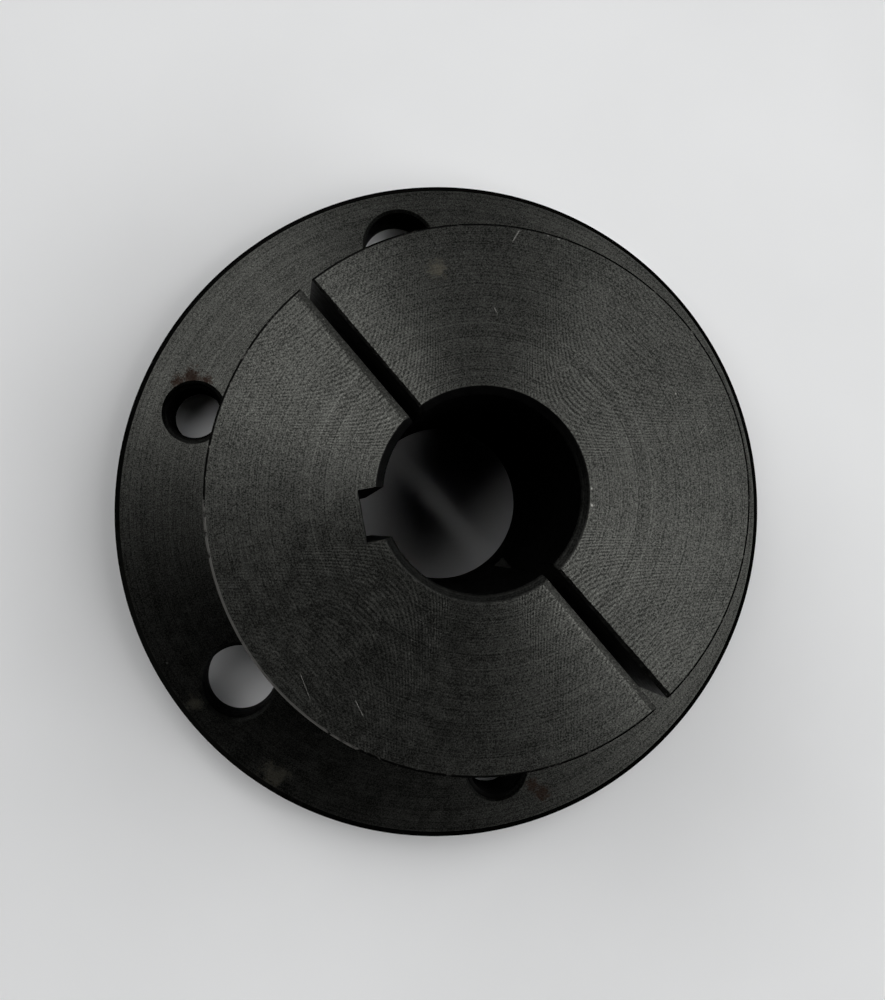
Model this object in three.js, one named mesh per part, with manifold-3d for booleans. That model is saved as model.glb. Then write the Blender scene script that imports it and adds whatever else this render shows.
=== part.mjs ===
// Split taper bushing, for clamping a sheave, sprocket or hub to a keyed shaft.
// A round flange carries a tapered barrel. One saw cut across the barrel's diameter leaves
// two halves that bend in at their roots, so the hub's taper squeezes the bore onto the shaft.
//
// Units are millimetres. +Z runs along the bore from the flange to the barrel's end, the origin is
// the centre of the flange's outer face, and the keyway is on the -X side.

import * as THREE from 'three';
import { mergeVertices } from 'three/addons/utils/BufferGeometryUtils.js';
import Module from 'manifold-3d';

const wasm = await Module();
wasm.setup();

// ---- Driving dimensions ----

const FLANGE_T = 13.5;
const FLANGE_CHAMFER = 0.9;
const RIM_LAND = 3.475; // steel between a clearance hole's mouth and the flange's rim

const BARREL_L = 50;
const BARREL_END_D = 69.9;
const TAPER = 1 / 32; // radius gained per unit of length, towards the flange
const BARREL_CHAMFER = 0.25;

const BORE_D = 25.4;
const BORE_CHAMFER = 1;

const KEY_W = 6.35;
const KEY_DEPTH = 3.175; // from the bore's wall at the keyway's side to its floor

const HOLE_PAIRS = 3; // clearance and tapped holes alternate round the bolt circle
const HOLE_LAND = 0.3; // steel between a clearance hole's mouth and the barrel's foot
const CLEARANCE_D = 11.1;
const CLEARANCE_CHAMFER = 0.5;
const THREAD_MINOR_D = 7.95; // 3/8-16 jacking thread, modelled at its minor diameter
const THREAD_SINK = 1.1; // countersink, past the thread's minor radius

const ROOT_L = 1.5; // unsawn foot of the barrel, part of the flange
const SLOT_W = 1.8;
const SLOT_CHAMFER = 0.5;
const ROOT_GAP = 0.3; // the halves bend across this gap instead of tearing off their foot

// ---- Directions, in degrees about +Z from +X ----

const KEY_AT = 180;
const CLEARANCE_AT = 90;
const TAPPED_AT = CLEARANCE_AT + 180 / HOLE_PAIRS;
const SLOT_ALONG = 120;
const PLAIN_SIDE = SLOT_ALONG - 90;
const KEYED_SIDE = SLOT_ALONG + 90;

// ---- How finely round surfaces are divided ----

const RIM_SIDES = 120;
const BORE_SIDES = 72;
const HOLE_SIDES = 32;

const OVERRUN = 5; // how far a cutter runs past what it cuts

// ---- Sizes that follow from these ----

const rootTop = FLANGE_T + ROOT_L;
const halfFoot = rootTop + ROOT_GAP;
const barrelTop = FLANGE_T + BARREL_L;
const mouthRadius = CLEARANCE_D / 2 + CLEARANCE_CHAMFER;
const boltCircleRadius = barrelRadius(FLANGE_T) + HOLE_LAND + mouthRadius; // 3-3/8 in circle
const flangeRadius = boltCircleRadius + mouthRadius + RIM_LAND; // 4-1/8 in flange

// The barrel's radius at a height: smallest at its end, growing towards the flange.
function barrelRadius(height) {
  return BARREL_END_D / 2 + TAPER * (barrelTop - height);
}

// ---- Solids from three.js geometry ----

function toSolid(geometry) {
  const bare = geometry.clone();
  bare.deleteAttribute('normal');
  bare.deleteAttribute('uv');
  const merged = mergeVertices(bare, 1e-5);
  const vertProperties = new Float32Array(merged.getAttribute('position').array);
  const triVerts = new Uint32Array(merged.getIndex().array);
  const mesh = new wasm.Mesh({ numProp: 3, vertProperties, triVerts });
  return new wasm.Manifold(mesh);
}

function toMesh(solid, name, material) {
  const { vertProperties, triVerts } = solid.getMesh();
  const geometry = new THREE.BufferGeometry();
  geometry.setAttribute('position', new THREE.BufferAttribute(new Float32Array(vertProperties), 3));
  geometry.setIndex(new THREE.BufferAttribute(new Uint32Array(triVerts), 1));
  geometry.computeVertexNormals();
  const mesh = new THREE.Mesh(geometry, material);
  mesh.name = name;
  return mesh;
}

// A solid of revolution about Z. The profile is a list of [radius, height] points, from the axis
// at the bottom, out and up, to the axis at the top.
function turned(profile, sides) {
  const points = profile.map(([radius, height]) => new THREE.Vector2(radius, height));
  return toSolid(new THREE.LatheGeometry(points, sides).rotateX(Math.PI / 2));
}

function block(width, depth, bottom, top) {
  const geometry = new THREE.BoxGeometry(width, depth, top - bottom);
  return geometry.translate(0, 0, (bottom + top) / 2);
}

function turnTo(geometry, degrees) {
  return geometry.rotateZ(THREE.MathUtils.degToRad(degrees));
}

// ---- Cutters ----

// A through drill from bottom to top, whose mouths widen by sink at 45 degrees.
function drill(radius, sink, bottom, top, sides) {
  return turned([
    [0, bottom - OVERRUN],
    [radius + sink, bottom - OVERRUN],
    [radius + sink, bottom],
    [radius, bottom + sink],
    [radius, top - sink],
    [radius + sink, top],
    [radius + sink, top + OVERRUN],
    [0, top + OVERRUN],
  ], sides);
}

function boreCutter() {
  return drill(BORE_D / 2, BORE_CHAMFER, 0, barrelTop, BORE_SIDES);
}

function keywayCutter() {
  const wallReach = Math.sqrt((BORE_D / 2) ** 2 - (KEY_W / 2) ** 2);
  const reach = wallReach + KEY_DEPTH;
  const slab = block(reach, KEY_W, -OVERRUN, barrelTop + OVERRUN);
  slab.translate(reach / 2, 0, 0);
  return toSolid(turnTo(slab, KEY_AT));
}

function flangeHole(diameter, sink, degrees) {
  const at = THREE.MathUtils.degToRad(degrees);
  const hole = drill(diameter / 2, sink, 0, FLANGE_T, HOLE_SIDES);
  return hole.translate([boltCircleRadius * Math.cos(at), boltCircleRadius * Math.sin(at), 0]);
}

// The saw cut with its V-shaped mouth at the barrel's end, as a section drawn across the cut.
function slotCutter() {
  const half = SLOT_W / 2;
  const mouth = half + SLOT_CHAMFER;
  const section = new THREE.Shape([
    new THREE.Vector2(-half, halfFoot - OVERRUN),
    new THREE.Vector2(half, halfFoot - OVERRUN),
    new THREE.Vector2(half, barrelTop - SLOT_CHAMFER),
    new THREE.Vector2(mouth, barrelTop),
    new THREE.Vector2(mouth, barrelTop + OVERRUN),
    new THREE.Vector2(-mouth, barrelTop + OVERRUN),
    new THREE.Vector2(-mouth, barrelTop),
    new THREE.Vector2(-half, barrelTop - SLOT_CHAMFER),
  ]);
  const depth = 2 * flangeRadius;
  const cut = new THREE.ExtrudeGeometry(section, { depth, bevelEnabled: false });
  cut.rotateX(Math.PI / 2).translate(0, depth / 2, 0);
  return toSolid(turnTo(cut, SLOT_ALONG - 90));
}

// ---- Sub-parts ----

// The flange with the barrel's unsawn foot on it.
function flange() {
  const faceRadius = flangeRadius - FLANGE_CHAMFER;
  let plate = turned([
    [0, 0],
    [faceRadius, 0],
    [flangeRadius, FLANGE_CHAMFER],
    [flangeRadius, FLANGE_T - FLANGE_CHAMFER],
    [faceRadius, FLANGE_T],
    [barrelRadius(FLANGE_T), FLANGE_T],
    [barrelRadius(rootTop), rootTop],
    [0, rootTop],
  ], RIM_SIDES);
  plate = plate.subtract(boreCutter()).subtract(keywayCutter());
  for (let i = 0; i < HOLE_PAIRS; i += 1) {
    const step = (360 / HOLE_PAIRS) * i;
    plate = plate.subtract(flangeHole(CLEARANCE_D, CLEARANCE_CHAMFER, CLEARANCE_AT + step));
    plate = plate.subtract(flangeHole(THREAD_MINOR_D, THREAD_SINK, TAPPED_AT + step));
  }
  return plate;
}

// The two halves of the barrel, above its foot.
function sawnBarrel() {
  const shoulder = barrelTop - BARREL_CHAMFER;
  const cone = turned([
    [0, halfFoot],
    [barrelRadius(halfFoot), halfFoot],
    [barrelRadius(shoulder), shoulder],
    [barrelRadius(barrelTop) - BARREL_CHAMFER, barrelTop],
    [0, barrelTop],
  ], RIM_SIDES);
  return cone.subtract(boreCutter()).subtract(keywayCutter()).subtract(slotCutter());
}

// The half of the sawn barrel that lies towards the given direction.
function barrelHalf(barrel, side) {
  const width = 2 * flangeRadius;
  const keep = block(width, width, halfFoot - OVERRUN, barrelTop + OVERRUN);
  keep.translate(width / 2, 0, 0);
  return barrel.intersect(toSolid(turnTo(keep, side)));
}

// ---- The bushing ----

const blackOxideSteel = new THREE.MeshStandardMaterial({
  color: 0x3a3936,
  roughness: 0.5,
  metalness: 0.85,
});

const barrel = sawnBarrel();
const bushing = new THREE.Group();
bushing.add(
  toMesh(flange(), 'flange', blackOxideSteel),
  toMesh(barrelHalf(barrel, PLAIN_SIDE), 'plain_half', blackOxideSteel),
  toMesh(barrelHalf(barrel, KEYED_SIDE), 'keyed_half', blackOxideSteel),
);

export default bushing;
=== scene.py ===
"""A split taper bushing in black oxide steel, standing on its flange.

The flange carries the barrel's unsawn foot. Above it the barrel is sawn into a plain half and a
keyed half. Sizes here are in millimetres, and they become metres
when a mesh is made. +Z runs along the bore, and the keyway is on the -X side.
"""

import math

import bmesh
import bpy
import numpy as np
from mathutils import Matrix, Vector


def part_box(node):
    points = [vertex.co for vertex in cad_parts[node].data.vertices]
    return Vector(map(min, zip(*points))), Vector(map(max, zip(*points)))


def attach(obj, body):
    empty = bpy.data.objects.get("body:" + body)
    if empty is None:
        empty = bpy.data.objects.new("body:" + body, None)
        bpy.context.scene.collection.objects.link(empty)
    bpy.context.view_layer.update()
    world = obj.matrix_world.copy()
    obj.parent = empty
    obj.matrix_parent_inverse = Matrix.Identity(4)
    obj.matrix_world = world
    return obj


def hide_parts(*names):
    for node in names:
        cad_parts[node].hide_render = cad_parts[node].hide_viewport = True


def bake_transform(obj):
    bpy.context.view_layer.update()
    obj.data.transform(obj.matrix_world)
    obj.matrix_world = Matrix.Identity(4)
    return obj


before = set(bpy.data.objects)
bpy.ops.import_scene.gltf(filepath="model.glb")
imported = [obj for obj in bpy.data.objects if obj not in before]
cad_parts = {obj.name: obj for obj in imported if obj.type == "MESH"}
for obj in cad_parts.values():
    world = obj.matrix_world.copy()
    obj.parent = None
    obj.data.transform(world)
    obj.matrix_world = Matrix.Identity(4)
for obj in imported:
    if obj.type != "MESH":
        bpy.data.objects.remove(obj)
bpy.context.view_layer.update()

# ---- Sizes ----

MM = 0.001
flange_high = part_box("flange")[1]
plain_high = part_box("plain_half")[1]

FLANGE_R = flange_high.x / MM
FLANGE_T = 13.5
FOOT_TOP = flange_high.z / MM
BARREL_TOP = plain_high.z / MM
BARREL_END_R = 34.95
# The radius that the barrel gains for each millimetre away from its end.
TAPER = 1 / 32
RIM_CHAMFER = 0.9
END_BREAK = 0.25
FOOT_FILLET = 0.15

BORE_R = 12.7
BORE_CHAMFER = 1.0
KEY_HALF = 3.175
# The keyway's floor, from the axis.
KEY_FLOOR = 15.475
KEY_BREAK = 0.15

BOLT_R = 42.8625
CLEARANCE_R = 5.55
CLEARANCE_CHAMFER = 0.5
CLEARANCE_CORNER_R = 0.1
THREAD_MINOR_R = 3.975
THREAD_MAJOR_R = 4.76
THREAD_PITCH = 25.4 / 16
THREAD_SINK = 1.1
# Shares of half a pitch: the thread's flat crest, and its sloping flank.
THREAD_CREST = 0.12
THREAD_FLANK = 0.64

SLOT_HALF = 0.9
# The edges of the slot's walls are drawn back by this much.
WALL_BREAK = 0.12
CORNER_R = 0.12
# The least drop from one row of a slot's wall to the next, below the filed bevel.
ROW_DROP = 0.05

# Angles about the axis, in degrees.
SLOT_AT = 120
CLEARANCE_AT = (90, 210, 330)
TAPPED_AT = (30, 150, 270)
SECTOR = 60

# ---- How finely each surface is divided ----

SECTOR_STEPS = 40
RING_STEPS = 6 * SECTOR_STEPS
HALF_STEPS = RING_STEPS // 2
FAN_STEPS = 6
SIDE_STEPS = 8
KEY_FLOOR_STEPS = 6
KEY_WALL_STEPS = 3
CORNER_STEPS = 3
FACE_STEPS = 84
WALL_STEPS = 22
# Above 1, a wall's rows crowd towards its foot.
WALL_CROWDING = 1.5
THREAD_STEPS = 12
# Points in the same cell of this size are one point.
WELD = 1e-4
# An edge that turns by more degrees than this is shaded sharp.
SHARP_ANGLE = 28

# Finishes, in the order of each piece's material slots.
FACE, SIDE, EDGE, BORE, SAWN, FILED, DRILLED = range(7)


def barrel_radius(height):
    """The barrel's radius: its end's radius, plus the taper times the distance from the end."""
    return BARREL_END_R + TAPER * (BARREL_TOP - height)


# ---- Curves ----


def fillet(before, corner, after, radius, steps=CORNER_STEPS):
    """An arc that rounds a corner. It touches both sides at radius / tan(half the corner's angle)
    from the corner, and its points turn evenly about its centre: each is the first spoke times
    sin(turn left) plus the last spoke times sin(turn done), over sin(whole turn)."""
    before, corner, after = (np.asarray(p, float) for p in (before, corner, after))
    one = (before - corner) / np.linalg.norm(before - corner)
    two = (after - corner) / np.linalg.norm(after - corner)
    half = math.acos(float(one @ two)) / 2
    centre = corner + (one + two) / np.linalg.norm(one + two) * radius / math.sin(half)
    first = corner + one * radius / math.tan(half) - centre
    last = corner + two * radius / math.tan(half) - centre
    turn = math.pi - 2 * half
    share = np.linspace(0, 1, steps + 1)[:, None]
    swept = np.sin((1 - share) * turn) * first + np.sin(share * turn) * last
    return centre + swept / math.sin(turn)


def rounded(corners, radius):
    """A polyline whose inner corners are all filleted to the same radius."""
    arcs = [
        fillet(corners[i - 1], corners[i], corners[i + 1], radius)
        for i in range(1, len(corners) - 1)
    ]
    return np.vstack([corners[:1], *arcs, corners[-1:]])


def ring(radius, height):
    """Points on a circle about the axis, from angle 0 round to 360 degrees, both ends included."""
    angle = np.radians(np.linspace(0, 360, RING_STEPS + 1))
    flat = np.stack([radius * np.cos(angle), radius * np.sin(angle)], -1)
    return lift(flat, height)


def lift(flat, height):
    """Plan points raised to a height."""
    heights = np.empty(flat.shape[:-1] + (1,))
    heights[..., 0] = height
    return np.concatenate([flat, heights], -1)


def bore_outline(radius, grow):
    """The bore with its keyway in plan, from angle 0 round to 360 degrees. Near 180 degrees the
    circle gives way to the keyway's wall, floor and wall. grow widens the keyway on every side."""
    step = np.linspace(-RING_STEPS / 2, RING_STEPS / 2, RING_STEPS + 1)
    return keyed_outline(radius, grow, step, [SECTOR_STEPS, RING_STEPS / 2], [SECTOR, 180])


def keyed_outline(radius, grow, step, known_steps, known_degrees):
    """Plan points of the keyed bore at steps counted from the middle of the keyway's floor.
    Up to KEY_FLOOR_STEPS they lie on the floor, then on a wall, and past that on the circle,
    where the angle from the keyway is read off between the known steps."""
    half = KEY_HALF + grow
    floor = KEY_FLOOR + grow
    mouth = math.sqrt(radius**2 - half**2)
    wall_end = KEY_FLOOR_STEPS + KEY_WALL_STEPS
    count = np.abs(step)
    corner = math.degrees(math.asin(half / radius))
    away = np.radians(np.interp(count, [wall_end, *known_steps], [corner, *known_degrees]))
    on_circle = count >= wall_end
    wall_x = np.interp(count, [KEY_FLOOR_STEPS, wall_end], [-floor, -mouth])
    x = np.where(on_circle, -radius * np.cos(away), wall_x)
    y = np.where(on_circle, radius * np.sin(away), half * np.minimum(count / KEY_FLOOR_STEPS, 1))
    return np.stack([x, -np.sign(step) * y], -1)


# ---- Meshes ----


def between(first, last, shares):
    """A grid of points: rows run from the first curve to the last by the given shares."""
    shares = np.asarray(shares, float)[:, None, None]
    return first[None] * (1 - shares) + last[None] * shares


def flat_area(grid):
    """Signed plan area of each cell of a grid, half the cross product of its diagonals."""
    one = grid[1:, 1:, :2] - grid[:-1, :-1, :2]
    two = grid[1:, :-1, :2] - grid[:-1, 1:, :2]
    return 0.5 * (one[..., 0] * two[..., 1] - one[..., 1] * two[..., 0])


def cells(grid, offset):
    """Corner numbers of each cell of a grid whose points are numbered row by row."""
    rows, columns = grid.shape[:2]
    number = offset + np.arange(rows * columns).reshape(rows, columns)
    corners = [number[:-1, :-1], number[:-1, 1:], number[1:, 1:], number[1:, :-1]]
    return np.stack(corners, -1).reshape(-1, 4)


def closed_mesh(name, patches):
    """One closed mesh from grids that share their edges, each with the finish of its cells. Points
    that round to the same place become one point. A cell that this squeezes to a line is dropped,
    and one that it squeezes to a triangle becomes a triangle."""
    points = np.concatenate([grid.reshape(-1, 3) for grid, _ in patches])
    offsets = np.cumsum([0] + [grid.shape[0] * grid.shape[1] for grid, _ in patches])
    quads = np.concatenate([cells(grid, offsets[i]) for i, (grid, _) in enumerate(patches)])
    finish = np.concatenate(
        [np.full((grid.shape[0] - 1) * (grid.shape[1] - 1), kind) for grid, kind in patches]
    )
    places = np.round(points / WELD).astype(np.int64)
    _, first, merged = np.unique(places, axis=0, return_index=True, return_inverse=True)
    quads = merged.reshape(-1)[quads]
    repeats = quads == np.roll(quads, -1, axis=1)
    whole = repeats.sum(1) == 0
    squeezed = repeats.sum(1) == 1
    triangles = quads[squeezed][~repeats[squeezed]].reshape(-1, 3)
    mesh = bpy.data.meshes.new(name)
    mesh.from_pydata(points[first] * MM, [], quads[whole].tolist() + triangles.tolist())
    kinds = np.concatenate([finish[whole], finish[squeezed]])
    mesh.polygons.foreach_set("material_index", kinds.astype(np.int32))
    shape = bmesh.new()
    shape.from_mesh(mesh)
    loose = [edge for edge in shape.edges if len(edge.link_faces) != 2]
    if loose:
        raise ValueError(f"{name} isn't closed: {len(loose)} edges, such as {loose[0].verts[0].co}")
    bmesh.ops.recalc_face_normals(shape, faces=shape.faces)
    shape.to_mesh(mesh)
    shape.free()
    mesh.shade_smooth()
    mesh.set_sharp_from_angle(angle=math.radians(SHARP_ANGLE))
    piece = bpy.data.objects.new(name, mesh)
    bpy.context.scene.collection.objects.link(piece)
    return piece


# ---- Flange ----


def hole_angles(outer_radius, inner_radius):
    """Angles of a hole's loop, about its own centre, for a hole on the +X side. Each points from
    the centre at one point of the sector's border, so that the face's cells fan out evenly."""
    border = sector_border(polar(outer_radius), polar(inner_radius)) - [BOLT_R, 0]
    return np.unwrap(np.arctan2(border[:, 1], border[:, 0]))


def polar(radius):
    """Plan points of one sector of a circle, centred on the +X side."""
    angle = np.radians(np.linspace(-SECTOR / 2, SECTOR / 2, SECTOR_STEPS + 1))
    return np.stack([radius * np.cos(angle), radius * np.sin(angle)], -1)


def sector_border(outer, inner):
    """Border of a face's sector: out arc, side in, in arc backwards, side out."""
    share = np.linspace(0, 1, SIDE_STEPS + 1)[1:-1, None]
    last_side = outer[-1] * (1 - share) + inner[-1] * share
    first_side = inner[0] * (1 - share) + outer[0] * share
    return np.vstack([outer, last_side, inner[::-1], first_side, outer[:1]])


def turned_to(flat, degrees):
    """Plan points turned about the axis."""
    angle = math.radians(degrees)
    x = flat[..., 0] * math.cos(angle) - flat[..., 1] * math.sin(angle)
    y = flat[..., 0] * math.sin(angle) + flat[..., 1] * math.cos(angle)
    return np.stack([x, y], -1)


LOOP = hole_angles(FLANGE_R - RIM_CHAMFER, barrel_radius(FLANGE_T))


def hole_loop(radius, at):
    """Plan points of a hole's loop at an angle on the bolt circle. The radius is one number, or a
    number for each point."""
    flat = np.stack([BOLT_R + radius * np.cos(LOOP), radius * np.sin(LOOP)], -1)
    return turned_to(flat, at)


def flange_face(height, outer, inner, mouths):
    """A flat face with six holes. A fan of cells runs from each hole's mouth to its sector's
    border, and mouths gives each hole's angle and the radius of its mouth."""
    patches = []
    for at, mouth in mouths.items():
        start = at // SECTOR * SECTOR_STEPS
        part = slice(start, start + SECTOR_STEPS + 1)
        border = sector_border(outer[part], inner[part])
        grid = between(hole_loop(mouth, at), border, np.linspace(0, 1, FAN_STEPS + 1))
        if (flat_area(grid) <= 0).any() and (flat_area(grid) >= 0).any():
            raise ValueError(f"cells of the face at {height} fold over")
        patches.append((lift(grid, height), FACE))
    return patches


def clearance_wall(at):
    """Wall of a clearance hole: its loop carried down a profile with a chamfer at each mouth."""
    mouth = CLEARANCE_R + CLEARANCE_CHAMFER
    corners = [
        (mouth, 0),
        (CLEARANCE_R, CLEARANCE_CHAMFER),
        (CLEARANCE_R, FLANGE_T - CLEARANCE_CHAMFER),
        (mouth, FLANGE_T),
    ]
    profile = rounded(np.array(corners, float), CLEARANCE_CORNER_R)
    rows = [lift(hole_loop(radius, at), height) for radius, height in profile]
    return [(np.stack(rows), DRILLED)]


def tapped_wall(at):
    """Wall of a tapped hole. Rows follow the helix: height = pitch x (row / rows a turn + angle / a
    turn), held between the faces. Radius is a rounded V on the row's phase, from the minor radius
    to the major one, and never less than the countersinks at both mouths."""
    turns = (LOOP - LOOP[0]) / (2 * math.pi)
    row = np.arange(-THREAD_STEPS, math.ceil(FLANGE_T / THREAD_PITCH * THREAD_STEPS) + 1)[:, None]
    height = np.clip(THREAD_PITCH * (row / THREAD_STEPS + turns[None]), 0, FLANGE_T)
    vee = np.abs(2 * ((row / THREAD_STEPS) % 1) - 1)
    vee = np.clip((vee - THREAD_CREST) / THREAD_FLANK, 0, 1)
    thread = THREAD_MINOR_R + (THREAD_MAJOR_R - THREAD_MINOR_R) * vee
    depth = np.minimum(height, FLANGE_T - height)
    radius = np.maximum(thread, THREAD_MINOR_R + THREAD_SINK - depth)
    return [(lift(hole_loop(radius, at), height), DRILLED)]


def flange_piece():
    """The flange with the barrel's unsawn foot, as turned, bored, drilled and tapped surfaces."""
    outer_edge = FLANGE_R - RIM_CHAMFER
    foot = barrel_radius(FLANGE_T)
    corners = [
        (outer_edge, 0),
        (FLANGE_R, RIM_CHAMFER),
        (FLANGE_R, FLANGE_T - RIM_CHAMFER),
        (outer_edge, FLANGE_T),
    ]
    rim = rounded(np.array(corners, float), CORNER_R)
    rim_wall = np.stack([ring(radius, height) for radius, height in rim])
    lower_end, upper_start = CORNER_STEPS, len(rim) - 1 - CORNER_STEPS
    on_face = (foot + 1, FLANGE_T)
    foot_edge = (barrel_radius(FOOT_TOP), FOOT_TOP)
    fillet_rows = fillet(on_face, (foot, FLANGE_T), foot_edge, FOOT_FILLET)
    foot_rows = np.vstack([fillet_rows, [foot_edge]])
    foot_wall = np.stack([ring(radius, height) for radius, height in foot_rows])
    bore = bore_outline(BORE_R, 0)
    foot_top = between(ring(barrel_radius(FOOT_TOP), FOOT_TOP), lift(bore, FOOT_TOP), [0, 0.5, 1])
    bore_rows = [
        lift(bore, FOOT_TOP),
        lift(bore, BORE_CHAMFER),
        lift(bore_outline(BORE_R + BORE_CHAMFER - KEY_BREAK, 0), KEY_BREAK),
        lift(bore_outline(BORE_R + BORE_CHAMFER, KEY_BREAK), 0),
    ]
    mouths = {at: CLEARANCE_R + CLEARANCE_CHAMFER for at in CLEARANCE_AT}
    mouths.update({at: THREAD_MINOR_R + THREAD_SINK for at in TAPPED_AT})
    inner_top = ring(foot_rows[0, 0], 0)[:, :2]
    outer_ring = ring(outer_edge, 0)[:, :2]
    patches = [(rim_wall[: lower_end + 1], EDGE), (rim_wall[upper_start:], EDGE)]
    patches += [(rim_wall[lower_end : upper_start + 1], SIDE), (foot_wall, SIDE)]
    patches += [(foot_top, SAWN), (np.stack(bore_rows), BORE)]
    patches += flange_face(FLANGE_T, outer_ring, inner_top, mouths)
    patches += flange_face(0, outer_ring, bore_outline(BORE_R + BORE_CHAMFER, KEY_BREAK), mouths)
    for at in CLEARANCE_AT:
        patches += clearance_wall(at)
    for at in TAPPED_AT:
        patches += tapped_wall(at)
    return closed_mesh("drilled_flange", patches)


# ---- Halves of the barrel ----


def section_columns():
    """Inner and outer edge of a half's section, as radius and height from the foot to the end
    face. Both have the same number of points: a straight wall, then two rounded corners."""
    mouth = BARREL_TOP - BORE_CHAMFER
    shoulder = BARREL_TOP - END_BREAK
    inner_corners = [
        (BORE_R, FOOT_TOP),
        (BORE_R, mouth),
        (BORE_R + BORE_CHAMFER, BARREL_TOP),
        (BARREL_END_R, BARREL_TOP),
    ]
    outer_corners = [
        (barrel_radius(FOOT_TOP), FOOT_TOP),
        (barrel_radius(shoulder), shoulder),
        (BARREL_END_R - END_BREAK, BARREL_TOP),
        (BORE_R, BARREL_TOP),
    ]
    columns = []
    for corners in (inner_corners, outer_corners):
        path = rounded(np.array(corners, float), CORNER_R)[:-1]
        share = np.linspace(0, 1, WALL_STEPS + 1)[:-1, None] ** WALL_CROWDING
        wall = path[0] * (1 - share) + path[1] * share
        columns.append(np.vstack([wall, path[1:]]))
    return columns


def ragged(share, seed, height):
    """Uneven width along a filed edge: a mean of sines whose phases come from the seed."""
    waves = np.array([3.0, 11.0, 19.0, 29.0, 37.0])
    phases = np.random.default_rng(seed).uniform(0, 2 * math.pi, len(waves))
    return height * np.sin(2 * math.pi * np.outer(share, waves) + phases).mean(1)


def slot_lines(column, width, fall, into_steel):
    """Two upright lines of points where a wall of a half meets the slot, for a bevel of the given
    width. The first is on the slot's own wall, below the bevel, and its radius is drawn back by
    WALL_BREAK. The second is the bevel's upper edge, and under the bevel the wall's broken edge.
    into_steel is 1 for the bore's wall, which has its steel outside, and -1 for the outer wall."""
    radius, height = column.T
    depth = BARREL_TOP - height
    away = SLOT_HALF + np.maximum(WALL_BREAK, width - depth / fall)
    upper_edge = np.stack([np.sqrt(radius**2 - away**2), away, height], -1)
    rows = len(column)
    low = BARREL_TOP - np.maximum(depth, width * fall + ROW_DROP * np.arange(rows)[::-1])
    drawn = np.interp(low, height, radius) + into_steel * WALL_BREAK
    slot_wall = np.stack([np.sqrt(drawn**2 - SLOT_HALF**2), np.full(rows, SLOT_HALF), low], -1)
    return slot_wall, upper_edge


def half_wall(column, widths, fall, into_steel, keyed):
    """A half's inner or outer wall, its column carried round the half. The first and last two
    positions are set by the slot. Those between divide the arc evenly, or follow the keyway."""
    wall = np.zeros((len(column), HALF_STEPS + 3, 3))
    wall[:, 0], wall[:, 1] = slot_lines(column, widths[0], fall, into_steel)
    wall[:, -1], wall[:, -2] = slot_lines(column, widths[1], fall, into_steel)
    wall[:, -2:, 0] *= -1
    position = np.arange(1, HALF_STEPS + 2)
    for row, (radius, height) in zip(wall, column):
        first, last = (math.degrees(math.atan2(row[i, 1], row[i, 0])) for i in (1, -2))
        if keyed:
            flat = keyed_arc(radius, height, first, last, position)
        else:
            angle = np.radians(np.interp(position, position[[0, -1]], [first, last]))
            flat = radius * np.stack([np.cos(angle), np.sin(angle)], -1)
        row[2:-2, :2] = flat[1:-1]
        row[2:-2, 2] = height
    return wall


def half_piece(name, start, keyed, fall, bevels):
    """Half of the sawn barrel, on the far side of the slot from -Y once +X is turned to start.

    fall is how far the filed bevel drops for each millimetre of its width. bevels gives, for each
    end of the half, its width at the bore and at the rim, its seed and its unevenness."""
    inner_column, outer_column = section_columns()
    share = np.linspace(0, 1, FACE_STEPS + 1)
    bevel = [
        near + (far - near) * share + ragged(share, seed, height)
        for near, far, seed, height in bevels
    ]
    inner = half_wall(inner_column, [width[0] for width in bevel], fall, 1, keyed)
    outer = half_wall(outer_column, [width[-1] for width in bevel], fall, -1, False)
    end_face = between(inner[-1], outer[-1], share)
    foot_face = between(inner[0], outer[0], share)
    for width, upper, lower in ((bevel[0], 1, 0), (bevel[1], -2, -1)):
        end_face[:, upper, 1] = SLOT_HALF + width
        end_face[:, lower, 2] = BARREL_TOP - width * fall
        end_face[0, [upper, lower]] = inner[-1, [upper, lower]]
        end_face[-1, [upper, lower]] = outer[-1, [upper, lower]]
    edge_start = len(outer) - 1 - 2 * CORNER_STEPS
    patches = [(inner, BORE), (outer[: edge_start + 1], SIDE), (outer[edge_start:], EDGE)]
    patches += [(end_face[:, 1:-1], FACE), (foot_face, SAWN)]
    patches += [(end_face[:, :2], FILED), (end_face[:, -2:], FILED)]
    for side in (0, -1):
        borders = (inner[:, side], outer[:, side], foot_face[:, side], end_face[:, side])
        patches.append((spanned(*borders, share), SAWN))
    turned = []
    for grid, finish in patches:
        flat = turned_to(grid[..., :2], start)
        turned.append((np.concatenate([flat, grid[..., 2:]], -1), finish))
    return closed_mesh(name, turned)


def keyed_arc(radius, height, first, last, position):
    """One row of the keyed half's inner wall, in the half's own turn: circle, keyway, circle. The
    keyway's edges are broken by KEY_BREAK at the barrel's end."""
    key_turn = 180 - SLOT_AT
    key_corner = math.degrees(math.asin(KEY_HALF / BORE_R))
    before = round((key_turn - key_corner) / 180 * HALF_STEPS)
    middle = before + KEY_FLOOR_STEPS + KEY_WALL_STEPS + 2
    step = position - middle
    grow = max(0.0, KEY_BREAK - (BARREL_TOP - height))
    early = keyed_outline(radius, grow, step, [middle - 1], [key_turn - first])
    late = keyed_outline(radius, grow, step, [position[-1] - middle], [last - key_turn])
    flat = np.where((step < 0)[:, None], early, late)
    return turned_to(flat, -SLOT_AT)


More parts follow.
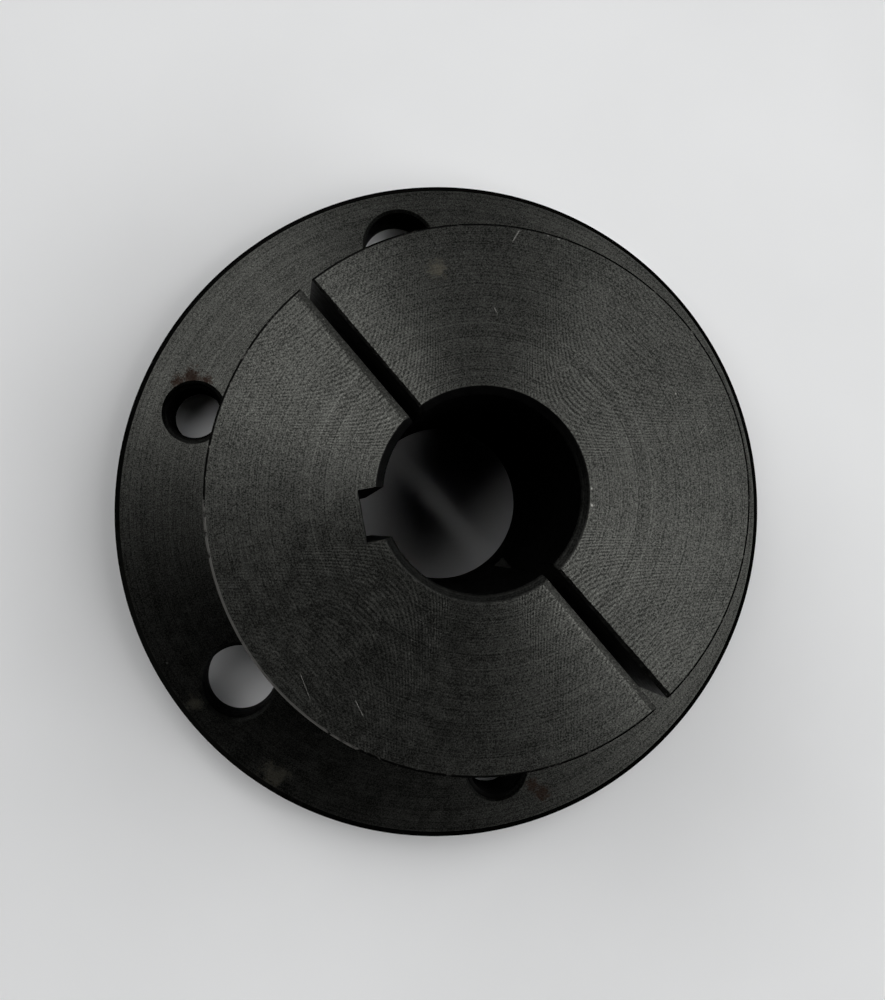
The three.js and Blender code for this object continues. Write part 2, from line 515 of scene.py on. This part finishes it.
def spanned(left, right, bottom, top, share):
    """A flat patch that fills four border curves: the two pairs are each joined by straight lines,
    the results added, and the patch between the four corners taken off (a Coons patch)."""
    across = between(left, right, share).transpose(1, 0, 2)
    up_share = np.linspace(0, 1, len(left))
    up = between(bottom, top, up_share)
    low = between(left[0][None], right[0][None], share)[:, 0]
    high = between(left[-1][None], right[-1][None], share)[:, 0]
    return across + up - between(low, high, up_share)


# For each end of a half: the bevel's width at the bore and at the rim, its seed and unevenness.
KEYED_BEVELS = ((0.85, 0.72, 1, 0.03), (0.85, 0.72, 2, 0.03))
KEYED_FALL = 0.4
PLAIN_BEVELS = ((0.35, 0.66, 3, 0.07), (0.35, 0.35, 4, 0.07))
PLAIN_FALL = 0.6
flange = flange_piece()
keyed_half = half_piece("keyed_barrel_half", SLOT_AT, True, KEYED_FALL, KEYED_BEVELS)
plain_half = half_piece("plain_barrel_half", SLOT_AT + 180, False, PLAIN_FALL, PLAIN_BEVELS)

# ---- Finishes ----

# Scales of the finishes' patterns, in features for each millimetre.
CLOUDS_PER_MM = 0.14
PATCHES_PER_MM = 0.7
GRAIN_PER_MM = 4.2
SALT_PER_MM = 5.2
DUST_PER_MM = 6.5
FEEDS_PER_MM = 4.5
STREAKS_ACROSS_PER_MM = 1.3
STREAKS_ALONG_PER_MM = 0.3
STREAK_WIDTH = 0.07

MIDDLE_TONE = 0.25
CLOUDS_SWING = 0.25
BUMP_MM = 0.02
# A facing cut's feed marks lean outwards: the slope of their wide flank.
FEED_SLOPE = 0.27

# The arcs that cross the feed marks: how their square directions are turned, and how many waves
# they have in each millimetre along both directions, and along the radius.
ARCS_TURN = -10.9
ARCS_EACH_WAY = 4.6
ARCS_INWARDS = 4.9
ARCS_FADE = (1.2, 1.29)

# Directions in plan: where a painted highlight brightens the barrel's end edge, and where painted
# shade on the bore's mouth is darkest.
PAINTED_GLINT_AT = 203
BORE_SHADE_AT = 95

OXIDE = (0.0150, 0.0153, 0.0140, 1)
OXIDE_PALE = (0.1430, 0.1450, 0.1335, 1)
# A near black that is laid on only as painted shade: on chamfers, in the bore, in the saw cut and
# within the holes.
SHADE_BLACK = (0.0070, 0.0070, 0.0070, 1)
BARE = (0.48, 0.47, 0.44, 1)
RUST = (0.050, 0.022, 0.013, 1)
RUST_DARK = (0.020, 0.011, 0.008, 1)
STAIN = (0.150, 0.138, 0.104, 1)

# Tint of what a surface reflects at a low angle: all of it, or little of it on a dark edge.
CLEAR = (1, 1, 1, 1)
DARK_EDGE = (0.15, 0.15, 0.15, 1)

# Marks of use on the turned faces. A scratch has two ends in plan, its face's height and a width.
# Nicks, rust and stains have a place in plan, their face's height and a size.
SCRATCHES = (
    ((9.7, 31.2), (11.2, 32.9), BARREL_TOP, 0.11),
    ((11.2, 32.9), (12.0, 32.6), BARREL_TOP, 0.09),
    ((-26.4, -17.0), (-25.6, -20.9), BARREL_TOP, 0.06),
    ((-20.4, -21.6), (-19.6, -24.2), BARREL_TOP, 0.07),
    ((5.7, 23.4), (6.1, 22.3), BARREL_TOP, 0.06),
    ((29.0, 2.0), (30.6, 3.4), BARREL_TOP, 0.06),
    ((40.5, -27.0), (38.6, -28.4), FLANGE_T, 0.07),
)
NICKS = (
    ((15.9, 30.7), BARREL_TOP, 0.22),
    ((14.6, 31.4), BARREL_TOP, 0.16),
    ((-7.6, -34.0), BARREL_TOP, 0.28),
    ((-19.1, -29.1), BARREL_TOP, 0.2),
    ((13.8, -2.0), BARREL_TOP, 0.16),
    ((13.4, -4.1), BARREL_TOP, 0.2),
    ((-47.4, -16.4), FLANGE_T, 0.2),
    ((27.2, 8.0), BARREL_TOP, 0.12),
)
RUST_SPOTS = (
    ((-36.6, 27.0), FLANGE_T, 2.1),
    ((-38.9, 26.6), FLANGE_T, 1.3),
    ((-34.4, 26.1), FLANGE_T, 1.1),
    ((5.2, -46.6), FLANGE_T, 1.3),
    ((6.6, -48.2), FLANGE_T, 1.6),
)
STAINS = (
    ((-34.2, -36.6), FLANGE_T, 2.6),
    ((-44.2, -23.3), FLANGE_T, 1.6),
    ((-0.6, 29.4), BARREL_TOP, 1.6),
)


class Graph:
    """The nodes of one material. Each call adds a node and gives back its output socket."""

    def __init__(self, name):
        self.material = bpy.data.materials.new(name)
        self.material.use_nodes = True
        self.tree = self.material.node_tree
        self.tree.nodes.clear()

    def add(self, kind, inputs, output=0, **settings):
        """A node with its settings. Each input is linked to a socket or set to a value."""
        node = self.tree.nodes.new(kind)
        for name, value in settings.items():
            setattr(node, name, value)
        for name, value in inputs.items():
            socket = node.inputs[name]
            if isinstance(value, bpy.types.NodeSocket):
                self.tree.links.new(value, socket)
            else:
                socket.default_value = value
        return node.outputs[output] if node.outputs else None

    def math(self, operation, *values):
        return self.add("ShaderNodeMath", dict(enumerate(values)), operation=operation)

    def vector(self, operation, *values):
        """A vector, or the number that a dot product, a distance or a length gives."""
        number = operation in ("DOT_PRODUCT", "DISTANCE", "LENGTH")
        inputs = dict(enumerate(values))
        return self.add("ShaderNodeVectorMath", inputs, output=int(number), operation=operation)

    def noise(self, vector, scale, detail=2.0, roughness=0.5):
        """Soft noise from 0 to 1, with features about 1 / scale across."""
        inputs = {"Vector": vector, "Scale": scale, "Detail": detail, "Roughness": roughness}
        return self.add("ShaderNodeTexNoise", inputs)

    def noise_along(self, length, scale, detail=2.0):
        """Noise that changes along one length only, as a lathe's feed marks do."""
        inputs = {"W": length, "Scale": scale, "Detail": detail}
        return self.add("ShaderNodeTexNoise", inputs, noise_dimensions="1D")

    def range(self, value, low, high, to_low=0.0, to_high=1.0):
        """The value's range low..high made to_low..to_high, smoothly and clamped."""
        inputs = {"Value": value, 1: low, 2: high, 3: to_low, 4: to_high}
        return self.add("ShaderNodeMapRange", inputs, interpolation_type="SMOOTHSTEP")

    def swing(self, value, amount):
        """A 0 to 1 value made to swing either side of nothing, by half the amount."""
        return self.math("MULTIPLY_ADD", value, amount, -amount / 2)

    def mix(self, share, one, two):
        """A colour between two, by the share of the second."""
        inputs = {0: share, 6: one, 7: two}
        return self.add("ShaderNodeMix", inputs, output=2, data_type="RGBA")

    def over(self, color, share, strength, top):
        """The colour with another laid over it, by share x strength."""
        return self.mix(self.math("MULTIPLY", share, strength), color, top)

    def sum(self, *values):
        total = values[0]
        for value in values[1:]:
            total = self.math("ADD", total, value)
        return total

    def product(self, *values):
        total = values[0]
        for value in values[1:]:
            total = self.math("MULTIPLY", total, value)
        return total

    def most(self, values):
        total = values[0]
        for value in values[1:]:
            total = self.math("MAXIMUM", total, value)
        return total


class Steel(Graph):
    """Black oxide steel, with its coordinates in millimetres."""

    def __init__(self, name):
        super().__init__(name)
        own = self.add("ShaderNodeTexCoord", {}, output=3)
        self.place = self.vector("MULTIPLY", own, (1000, 1000, 1000))
        split = self.tree.nodes.new("ShaderNodeSeparateXYZ")
        self.tree.links.new(self.place, split.inputs[0])
        self.x, self.y, self.z = split.outputs
        squares = self.math("MULTIPLY_ADD", self.x, self.x, self.math("MULTIPLY", self.y, self.y))
        self.radius = self.math("SQRT", squares)
        self.outward = self.vector("NORMALIZE", self.vector("MULTIPLY", self.place, (1, 1, 0)))
        self.upward = self.add("ShaderNodeCombineXYZ", {0: 0.0, 1: 0.0, 2: 1.0})
        self.clouds = self.noise(self.place, CLOUDS_PER_MM, 4, 0.6)
        self.patches = self.noise(self.place, PATCHES_PER_MM, 3, 0.6)
        self.grain = self.noise(self.place, GRAIN_PER_MM, 2, 0.7)

    def towards(self, degrees):
        """How far a place lies along a direction in plan."""
        angle = math.radians(degrees)
        return self.vector("DOT_PRODUCT", self.place, (math.cos(angle), math.sin(angle), 0))

    def tone(self, grain, *more):
        """How pale the oxide is: grain, patches and clouds that swing about a middling tone, with
        more on top. 0 is OXIDE and 1 is OXIDE_PALE."""
        return self.sum(
            self.swing(self.grain, grain),
            self.swing(self.patches, CLOUDS_SWING),
            self.swing(self.clouds, CLOUDS_SWING),
            MIDDLE_TONE,
            *more,
        )

    def roughness(self, low, high):
        """Roughness that wanders between two values from patch to patch."""
        return self.range(self.patches, 0.3, 0.7, low, high)

    def streaks(self, degrees, sparse):
        """Thin marks that run one way: cells stretched along it, drawn near each cell's point and
        kept where the cell's own random number is high."""
        across = self.math("MULTIPLY", self.towards(degrees + 90), STREAKS_ACROSS_PER_MM)
        along = self.math("MULTIPLY", self.towards(degrees), STREAKS_ALONG_PER_MM)
        stretched = self.add("ShaderNodeCombineXYZ", {0: across, 1: along, 2: self.z})
        inputs = {"Vector": stretched, "Scale": 1.0, "Randomness": 1.0}
        near = self.add("ShaderNodeTexVoronoi", inputs, output=0)
        pick = self.add("ShaderNodeTexVoronoi", inputs, output=1)
        chosen = self.range(self.add("ShaderNodeSeparateColor", {0: pick}), sparse, sparse + 0.05)
        return self.product(self.range(near, STREAK_WIDTH, STREAK_WIDTH * 0.3), chosen)

    def spots(self, marks):
        """Blots, each 1 at its place and 0 past about its size, with an uneven edge."""
        return self.most([self.spot((*place, height), size) for place, height, size in marks])

    def spot(self, centre, size):
        """One blot, from the distance to its centre plus noise."""
        away = self.vector("DISTANCE", self.place, centre)
        uneven = self.sum(away, self.swing(self.noise(self.place, 2.6 / size, 4, 0.75), size * 3))
        return self.range(uneven, size, size * 0.3)

    def scratch(self, start, end, width):
        """A straight scratch: distance from the line, kept between its two ends."""
        run = Vector(end) - Vector(start)
        from_start = self.vector("SUBTRACT", self.place, start)
        share = self.vector("DOT_PRODUCT", from_start, run / run.length_squared)
        away = self.vector("LENGTH", self.vector("CROSS_PRODUCT", from_start, run.normalized()))
        line = self.range(away, width, 0.0)
        return self.product(line, self.range(share, 0.0, 0.2), self.range(share, 1.0, 0.8))

    def crossing_marks(self):
        """Faint arcs that cross the feed marks, in each quarter of a face: a wave whose phase is
        ARCS_EACH_WAY times the sum of the distances along two square directions, less ARCS_INWARDS
        times the radius. They fade where a quarter ends."""
        one = self.math("ABSOLUTE", self.towards(ARCS_TURN))
        two = self.math("ABSOLUTE", self.towards(ARCS_TURN + 90))
        both = self.math("ADD", one, two)
        phase = self.sum(
            self.math("MULTIPLY", both, ARCS_EACH_WAY),
            self.math("MULTIPLY", self.radius, -ARCS_INWARDS),
            self.math("MULTIPLY", self.patches, 0.5),
        )
        wave = self.math("COSINE", self.math("MULTIPLY", phase, 2 * math.pi))
        middle = self.range(self.math("DIVIDE", both, self.radius), *ARCS_FADE)
        return self.product(wave, middle, self.range(self.patches, 0.35, 0.62, 0.35, 1.2))

    def finish(self, color, roughness, height, anisotropy, stretch, glancing=CLEAR):
        """The shader. height counts in BUMP_MM, stretch is the way that highlights run, and
        glancing tints what is reflected at a low angle."""
        bump = self.add("ShaderNodeBump", {"Distance": BUMP_MM * MM, "Height": height})
        inputs = {
            "Base Color": color,
            "Metallic": 1.0,
            "Roughness": roughness,
            "Anisotropic": anisotropy,
            "Specular Tint": glancing,
            "Normal": bump,
            "Tangent": stretch,
        }
        shader = self.add("ShaderNodeBsdfPrincipled", inputs)
        self.add("ShaderNodeOutputMaterial", {"Surface": shader})
        return self.material


def turned_face():
    """Ends and flange faces: feed marks, crossing arcs, a salt-like grain and the marks of use.
    The arcs are on the barrel's end only, and weaker towards its rim."""
    steel = Steel("turned face")
    feed = steel.noise_along(steel.radius, FEEDS_PER_MM)
    bands = steel.noise_along(steel.radius, 0.7, 3)
    arcs = steel.product(
        steel.crossing_marks(),
        steel.range(steel.z, FLANGE_T + 1, BARREL_TOP - 1),
        steel.range(steel.radius, 17, 30, 1.15, 0.6),
    )
    fine = steel.most([steel.streaks(20, 0.5), steel.streaks(75, 0.6), steel.streaks(140, 0.55)])
    salt = steel.range(steel.noise(steel.place, SALT_PER_MM, 2, 0.7), 0.58, 0.76)
    scratches = steel.most([
        steel.scratch((*start, height), (*end, height), width)
        for start, end, height, width in SCRATCHES
    ])
    nicks = steel.spots(NICKS)
    rust = steel.spots(RUST_SPOTS)
    stain = steel.spots(STAINS)
    pale = steel.tone(
        1.1,
        steel.swing(feed, 0.5),
        steel.swing(bands, 0.2),
        steel.swing(steel.noise(steel.place, DUST_PER_MM, 1), 1.0),
        steel.math("MULTIPLY", arcs, 0.13),
        steel.math("MULTIPLY", salt, 0.55),
    )
    color = steel.mix(pale, OXIDE, OXIDE_PALE)
    color = steel.over(color, fine, 0.05, BARE)
    color = steel.mix(steel.product(stain, steel.patches, 0.75), color, STAIN)
    color = steel.over(color, rust, 0.65, steel.mix(steel.grain, RUST_DARK, RUST))
    color = steel.over(color, scratches, 0.22, BARE)
    color = steel.over(color, nicks, 0.5, BARE)
    rough = steel.sum(
        steel.roughness(0.36, 0.44),
        steel.math("MULTIPLY", rust, 0.2),
        steel.math("MULTIPLY", stain, 0.15),
    )
    height = steel.sum(
        steel.swing(feed, 0.4),
        steel.swing(steel.grain, 0.7),
        steel.math("MULTIPLY", arcs, 0.1),
        steel.math("MULTIPLY", scratches, -0.8),
        steel.math("MULTIPLY", steel.radius, -FEED_SLOPE / BUMP_MM),
    )
    return steel.finish(color, rough, height, 0.9, steel.outward)


def turned_side():
    """The taper, the foot and the rim: feed marks round the axis."""
    steel = Steel("turned side")
    feed = steel.noise_along(steel.z, FEEDS_PER_MM)
    bands = steel.noise_along(steel.z, 0.5, 3)
    fine = steel.most([steel.streaks(20, 0.5), steel.streaks(110, 0.6)])
    pale = steel.tone(1.2, steel.swing(feed, 0.6), steel.swing(bands, 0.25))
    color = steel.over(steel.mix(pale, OXIDE, OXIDE_PALE), fine, 0.06, BARE)
    height = steel.sum(steel.swing(feed, 0.6), steel.swing(steel.grain, 0.4))
    return steel.finish(color, steel.roughness(0.4, 0.5), height, 0.6, steel.upward)


def broken_edge():
    """Chamfers painted darker than the faces as painted shade, with bright stretches of wear at the
    barrel's end and a painted highlight that makes them brightest towards one direction in plan,
    next to none on the flange."""
    steel = Steel("broken edge")
    glint_way = math.radians(PAINTED_GLINT_AT)
    way = (math.cos(glint_way), math.sin(glint_way), 0)
    # How far an edge faces the direction of the painted highlight.
    facing = steel.vector("DOT_PRODUCT", steel.outward, way)
    painted_glint = steel.range(facing, 0.8, 0.97, 0.0, 0.3)
    broken = steel.sum(steel.noise(steel.place, 0.8, 4, 0.7), painted_glint)
    wear_and_glint = steel.product(
        steel.range(broken, 0.56, 0.72),
        steel.range(facing, -0.2, 0.9, 0.2, 0.42),
        steel.range(steel.z, FLANGE_T, BARREL_TOP - 1, 0.03, 1.0),
    )
    # Chamfers painted between near black and the oxide as painted shade, then towards bare steel by
    # wear and by the painted highlight.
    color = steel.mix(wear_and_glint, steel.mix(steel.grain, SHADE_BLACK, OXIDE), BARE)
    height = steel.swing(steel.grain, 0.5)
    rough = steel.roughness(0.4, 0.5)
    return steel.finish(color, rough, height, 0.0, steel.upward, DARK_EDGE)


def bored_wall():
    """The bore and keyway, painted nearly black as shade and specked with rust, and the chamfers at
    their mouths, with painted shade that is heaviest on one side and lighter on the other."""
    steel = Steel("bored wall")
    feed = steel.noise_along(steel.z, FEEDS_PER_MM)
    upper_mouth = BARREL_TOP - BORE_CHAMFER
    # Painted shade over the whole bore wall between its two chamfers.
    recess_shade = steel.product(
        steel.range(steel.z, BORE_CHAMFER - 0.1, BORE_CHAMFER + 0.2),
        steel.range(steel.z, upper_mouth + 0.1, upper_mouth - 0.2),
    )
    # Painted shade on the mouths' chamfers, heavier on one side.
    painted_shade_side = steel.range(steel.towards(BORE_SHADE_AT), -12, 10, 0.55, 0.97)
    color = steel.mix(steel.tone(1.6, steel.swing(feed, 0.7)), OXIDE, OXIDE_PALE)
    color = steel.mix(steel.math("MAXIMUM", painted_shade_side, recess_shade), color, SHADE_BLACK)
    specks = steel.range(steel.noise(steel.place, 1.6, 4, 0.7), 0.68, 0.76)
    color = steel.over(color, specks, 0.5, RUST)
    height = steel.sum(steel.swing(feed, 0.5), steel.swing(steel.grain, 0.4))
    rough = steel.roughness(0.4, 0.5)
    return steel.finish(color, rough, height, 0.5, steel.upward, DARK_EDGE)


def sawn_wall():
    """The saw cut's walls, scored along the cut by the blade."""
    steel = Steel("sawn wall")
    score = steel.noise_along(steel.z, 2.4, 3)
    color = steel.mix(steel.tone(1.6, steel.swing(score, 0.9)), OXIDE, OXIDE_PALE)
    # The saw cut's walls are painted half way to near black: painted shade in the slot.
    color = steel.mix(0.5, color, SHADE_BLACK)
    height = steel.sum(steel.swing(score, 1.8), steel.swing(steel.grain, 1.2))
    return steel.finish(color, steel.roughness(0.5, 0.65), height, 0.0, steel.upward)


def filed_edge():
    """The bevels filed along the saw cut: smoother and darker than the faces, with some bright
    specks."""
    steel = Steel("filed edge")
    color = steel.mix(steel.tone(0.8, -0.2), OXIDE, OXIDE_PALE)
    specks = steel.range(steel.noise(steel.place, 2.6, 3, 0.7), 0.63, 0.74)
    color = steel.over(color, specks, 0.3, BARE)
    height = steel.swing(steel.grain, 0.6)
    return steel.finish(color, steel.roughness(0.4, 0.5), height, 0.0, steel.upward)


def drilled_wall():
    """Holes and their countersinks, rougher than the turned faces, with painted shade that deepens
    away from their mouths.
    """
    steel = Steel("drilled wall")
    score = steel.noise_along(steel.z, 3.5)
    away = steel.math("ABSOLUTE", steel.math("SUBTRACT", steel.z, FLANGE_T / 2))
    # Painted shade within each hole, heaviest away from its mouths.
    recess_shade = steel.range(away, FLANGE_T / 2 - 0.5, FLANGE_T / 2 - 0.8, 0.45, 0.95)
    color = steel.mix(steel.tone(1.8, steel.swing(score, 0.8)), OXIDE, OXIDE_PALE)
    color = steel.mix(recess_shade, color, SHADE_BLACK)
    height = steel.sum(steel.swing(score, 0.8), steel.swing(steel.grain, 0.8))
    rough = steel.roughness(0.4, 0.55)
    return steel.finish(color, rough, height, 0.0, steel.upward, DARK_EDGE)


finishes = (turned_face, turned_side, broken_edge, bored_wall, sawn_wall, filed_edge, drilled_wall)
materials = [make() for make in finishes]
for piece in (flange, keyed_half, plain_half):
    for material in materials:
        piece.data.materials.append(material)

# ---- Bodies ----

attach(flange, "flange")
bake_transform(plain_half)
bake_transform(keyed_half)
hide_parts("flange")
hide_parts("plain_half")
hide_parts("keyed_half")

# ---- Floor, light and camera ----

# From here on a length is in metres, unless its name says otherwise, and an angle in degrees.
FLOOR_R = 4
FLOOR_STEPS = 96
CARD = (0.86, 0.865, 0.87, 1)
CARD_PALE = (0.9, 0.905, 0.91, 1)

LIGHT_ELEVATION = 58
LIGHT_DISTANCE = 1.0
AIM_HEIGHT = 0.04

# The surround is darkest towards this azimuth, and DARK_RISE as far up as out.
DARK_SIDE = 220
DARK_RISE = 0.5
# Counted from 1 on the dark side to -1 opposite it, the surround brightens between these two.
DARK_UNTIL = 0.6
BRIGHT_FROM = -0.5
SURROUND_TINT = (0.97, 0.985, 1.0, 1)
SURROUND_BRIGHT = 0.11
# The horizon's glow ends at the first height and is full below the second, where straight up is 1.
GLOW_TOP = 0.42
GLOW_FULL = 0.1
HORIZON_DARK = 0.09
HORIZON_BRIGHT = 0.5

LENS_MM = 50.136
FRAME_SHIFT = (-0.0668, -0.1616)
CAMERA_AT_MM = (-21.901, -0.535, 239.881)
CAMERA_TURN = (7.849, -7.959, -10.9)


def pale_floor():
    """A wide disc that the bushing stands on."""
    angle = np.linspace(0, 2 * math.pi, FLOOR_STEPS + 1)[:-1]
    flat = [FLOOR_R * np.cos(angle), FLOOR_R * np.sin(angle), np.zeros(FLOOR_STEPS)]
    mesh = bpy.data.meshes.new("floor")
    mesh.from_pydata(np.stack(flat, -1), [], [list(range(FLOOR_STEPS))])
    floor = bpy.data.objects.new("floor", mesh)
    bpy.context.scene.collection.objects.link(floor)
    card = Graph("pale card")
    place = card.add("ShaderNodeTexCoord", {}, output=3)
    color = card.mix(card.range(card.noise(place, 14, 4), 0.3, 0.7), CARD, CARD_PALE)
    inputs = {"Base Color": color, "Roughness": 0.8, "Specular IOR Level": 0.2}
    shader = card.add("ShaderNodeBsdfPrincipled", inputs)
    card.add("ShaderNodeOutputMaterial", {"Surface": shader})
    mesh.materials.append(card.material)


def softbox(name, azimuth, size, power):
    """A square area light aimed at the bushing. Its size is in metres and its power in watts."""
    light = bpy.data.lights.new(name, "AREA")
    light.shape = "SQUARE"
    light.size = size
    light.energy = power
    lamp = bpy.data.objects.new(name, light)
    a, e = math.radians(azimuth), math.radians(LIGHT_ELEVATION)
    way = Vector((math.cos(a) * math.cos(e), math.sin(a) * math.cos(e), math.sin(e)))
    lamp.location = way * LIGHT_DISTANCE + Vector((0, 0, AIM_HEIGHT))
    lamp.rotation_euler = way.to_track_quat("Z", "Y").to_euler()
    bpy.context.scene.collection.objects.link(lamp)


def surround():
    """A soft surround that falls away to dark towards DARK_SIDE, with a glow near the horizon,
    where the object's sides look. Its strength is glow x low + fall."""
    world = bpy.data.worlds.new("studio")
    world.use_nodes = True
    tree = world.node_tree
    background = tree.nodes["Background"]
    background.inputs["Color"].default_value = SURROUND_TINT
    way = tree.nodes.new("ShaderNodeTexCoord").outputs["Generated"]
    towards = tree.nodes.new("ShaderNodeVectorMath")
    towards.operation = "DOT_PRODUCT"
    angle = math.radians(DARK_SIDE)
    dark_way = Vector((math.cos(angle), math.sin(angle), DARK_RISE)).normalized()
    towards.inputs[1].default_value = dark_way
    tree.links.new(way, towards.inputs[0])
    split = tree.nodes.new("ShaderNodeSeparateXYZ")
    tree.links.new(way, split.inputs[0])

    def fade(value, *limits):
        node = tree.nodes.new("ShaderNodeMapRange")
        node.interpolation_type = "SMOOTHSTEP"
        for place, limit in enumerate(limits, 1):
            node.inputs[place].default_value = limit
        tree.links.new(value, node.inputs["Value"])
        return node.outputs[0]

    strength = tree.nodes.new("ShaderNodeMath")
    strength.operation = "MULTIPLY_ADD"
    low = fade(split.outputs["Z"], GLOW_TOP, GLOW_FULL, 0.0, 1.0)
    side = towards.outputs["Value"]
    glow = fade(side, DARK_UNTIL, BRIGHT_FROM, HORIZON_DARK, HORIZON_BRIGHT)
    fall = fade(side, DARK_UNTIL, BRIGHT_FROM, 0.0, SURROUND_BRIGHT)
    for place, value in enumerate((low, glow, fall)):
        tree.links.new(value, strength.inputs[place])
    tree.links.new(strength.outputs[0], background.inputs["Strength"])
    bpy.context.scene.world = world


def camera():
    """Looks down from above the bushing, a little from its keyway side."""
    lens = bpy.data.cameras.new("camera")
    lens.lens = LENS_MM
    lens.shift_x, lens.shift_y = FRAME_SHIFT
    lens.clip_start = 0.01
    lens.clip_end = 50
    view = bpy.data.objects.new("camera", lens)
    view.location = [place * MM for place in CAMERA_AT_MM]
    view.rotation_euler = [math.radians(turn) for turn in CAMERA_TURN]
    bpy.context.scene.collection.objects.link(view)
    bpy.context.scene.camera = view


pale_floor()
surround()
softbox("right softbox", 326, 0.56, 3.2)
softbox("back softbox", 20, 0.6, 3.1)
softbox("left softbox", 125, 0.66, 4.2)
camera()
bpy.context.scene.view_settings.view_transform = "Standard"
